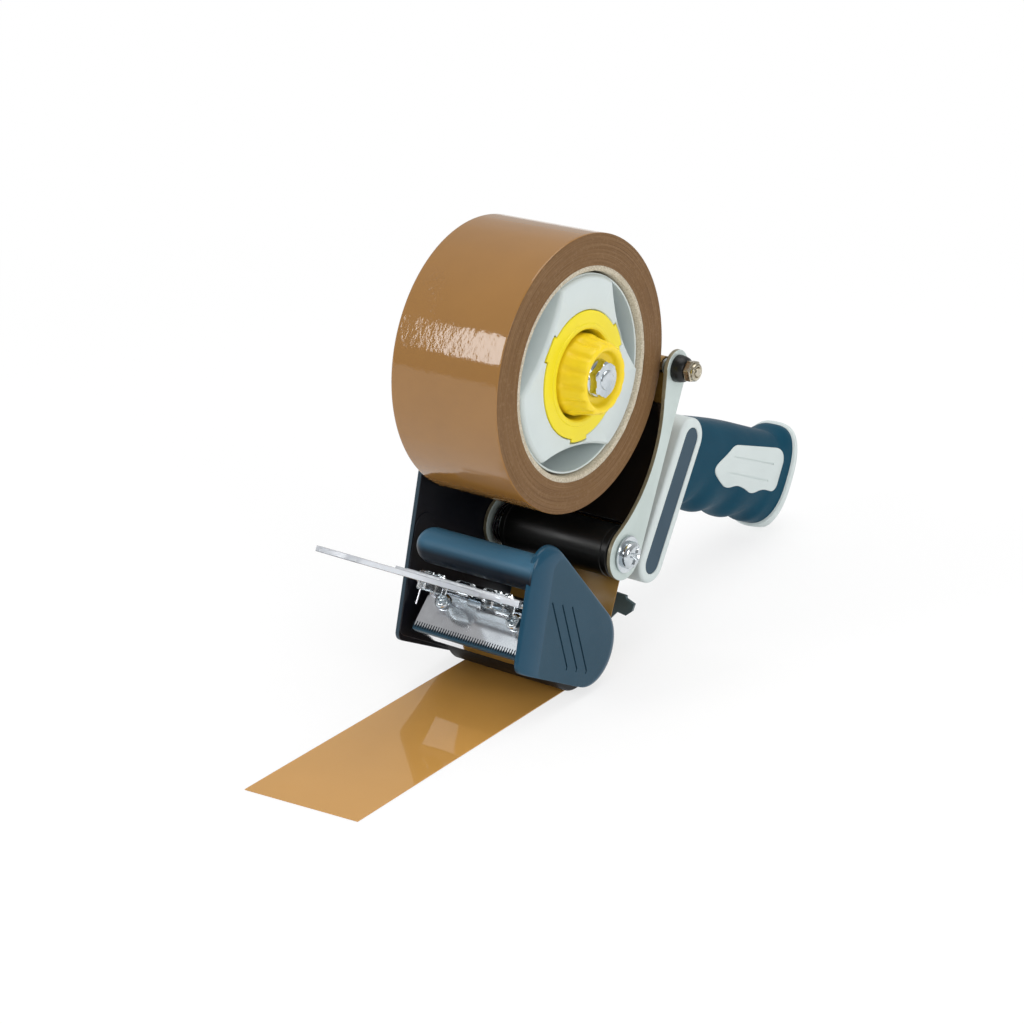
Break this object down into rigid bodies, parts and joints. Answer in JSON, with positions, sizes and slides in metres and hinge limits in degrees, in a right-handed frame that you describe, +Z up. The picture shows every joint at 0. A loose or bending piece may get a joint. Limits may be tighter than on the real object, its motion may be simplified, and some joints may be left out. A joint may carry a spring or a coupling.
{
  "type": "packing tape dispenser",
  "caption": "Hand-held packing tape dispenser with a pistol grip, braked roll hub, sprung tension arm, rollers, toothed blade and clear guard, loaded with tape.",
  "frame": {"origin": "on the surface the tape is stuck to, under the nose, in the middle of the roll's width", "axes": "+X the way the tape leaves, +Y towards the open side that the roll goes on from, +Z up"},
  "size_m": [0.335, 0.0829, 0.1838],
  "materials": {
    "side_steel": "dark blue-black paint, satin",
    "blue_plastic": "moulded, fine satin",
    "grip_rubber": "soft-touch blue overmould",
    "grey_plastic": "light grey, satin",
    "yellow_plastic": "bright yellow, semi-gloss",
    "black_gloss": "glossy black enamel",
    "black_rubber": "smooth black rubber",
    "black_plastic": "smooth black tube",
    "arm_zinc": "pale zinc-plated sheet",
    "bright_zinc": "bright zinc-plated fasteners",
    "yellow_zinc": "yellow-passivated nut",
    "tab_steel": "dark green-blue paint with a bare edge",
    "blade_steel": "polished toothed spring steel",
    "mirror_steel": "polished stainless strip",
    "fibre": "brown pressed fibre",
    "clear_plastic": "clear polycarbonate",
    "cardboard": "pale cardboard tube",
    "brown_tape_roll": "wound brown film, glossy outside, fine streaks on the cut face",
    "brown_tape_film": "single layer of brown film, glossy"
  },
  "bodies": {
    "frame": {"side_plate": "side_steel", "rear_guide": "tab_steel", "nose_housing": "blue_plastic", "blade": "blade_steel", "blade_screws": "bright_zinc", "wiper_plate": "mirror_steel", "applicator_axle": "bright_zinc", "guide_axle": "bright_zinc", "arm_screw": "bright_zinc", "arm_washer": "bright_zinc", "arm_spring": "bright_zinc", "roll_axle": "bright_zinc", "axle_nut": "bright_zinc", "friction_washer": "fibre", "brake_spring": "bright_zinc", "tape_web_lower": "brown_tape_film", "tape_strip": "brown_tape_film", "guard_pin": "bright_zinc", "guard_spring": "bright_zinc", "handle_head": "grey_plastic", "head_panel": "blue_plastic", "head_screws": "bright_zinc", "handle_bolt": "bright_zinc", "handle_core": "grey_plastic", "handle_grip": "grip_rubber", "handle_cap": "grey_plastic", "grip_plaques": "grey_plastic"},
    "arm": {"arm_near": "arm_zinc", "arm_far": "arm_zinc", "arm_shield": "black_gloss", "arm_bolt": "bright_zinc", "arm_bush": "black_plastic", "arm_nut": "yellow_zinc", "tape_web_upper": "brown_tape_film"},
    "silencer": {"silencer_roller": "bright_zinc"},
    "guide": {"guide_roller": "black_plastic"},
    "applicator": {"applicator_roller": "black_rubber"},
    "roll": {"tape_roll": "brown_tape_roll", "tape_core": "cardboard", "hub": "grey_plastic", "hub_disc": "yellow_plastic"},
    "brake_carrier": {"pressure_washer": "bright_zinc"},
    "knob": {"brake_knob": "yellow_plastic", "knob_nut": "bright_zinc"},
    "guard": {"guard_base": "clear_plastic", "guard_tongue": "clear_plastic", "guard_studs": "clear_plastic"}
  },
  "joints": [
    {"name": "roll_spin", "type": "hinge", "parent": "frame", "child": "roll", "pos_m": [-0.012, 0, 0.1292], "axis": [0, 1, 0], "continuous": true},
    {"name": "guide_spin", "type": "hinge", "parent": "frame", "child": "guide", "pos_m": [-0.0313, 0, 0.0493], "axis": [0, 1, 0], "continuous": true},
    {"name": "applicator_spin", "type": "hinge", "parent": "frame", "child": "applicator", "pos_m": [-0.002, 0, 0.0159], "axis": [0, 1, 0], "continuous": true},
    {"name": "arm_swing", "type": "hinge", "parent": "frame", "child": "arm", "pos_m": [-0.0313, 0, 0.0493], "axis": [0, -1, 0], "range_deg": [0, 8], "stiffness_Nm_per_rad": 0.6, "springref_deg": -34.38},
    {"name": "silencer_spin", "type": "hinge", "parent": "arm", "child": "silencer", "pos_m": [-0.0687, 0, 0.11649], "axis": [0, 1, 0], "continuous": true},
    {"name": "knob_feed", "type": "slide", "parent": "frame", "child": "brake_carrier", "axis": [0, -1, 0], "range_m": [-0.00031, 0.00093], "deforming": ["brake_spring"]},
    {"name": "knob_turn", "type": "hinge", "parent": "brake_carrier", "child": "knob", "pos_m": [-0.012, 0, 0.1292], "axis": [0, -1, 0], "range_deg": [-90, 270]},
    {"name": "guard_flip", "type": "hinge", "parent": "frame", "child": "guard", "pos_m": [0.025, 0, 0.0456], "axis": [0, 1, 0], "range_deg": [-15, 16]}
  ],
  "couplings": [
    {"joint": "guide_spin", "follows": "roll_spin", "ratio": -5.1509},
    {"joint": "applicator_spin", "follows": "roll_spin", "ratio": -3.5921},
    {"joint": "silencer_spin", "follows": "roll_spin", "ratio": -17.062},
    {"joint": "knob_turn", "follows": "knob_feed", "rad_per_m": 5026.5}
  ]
}
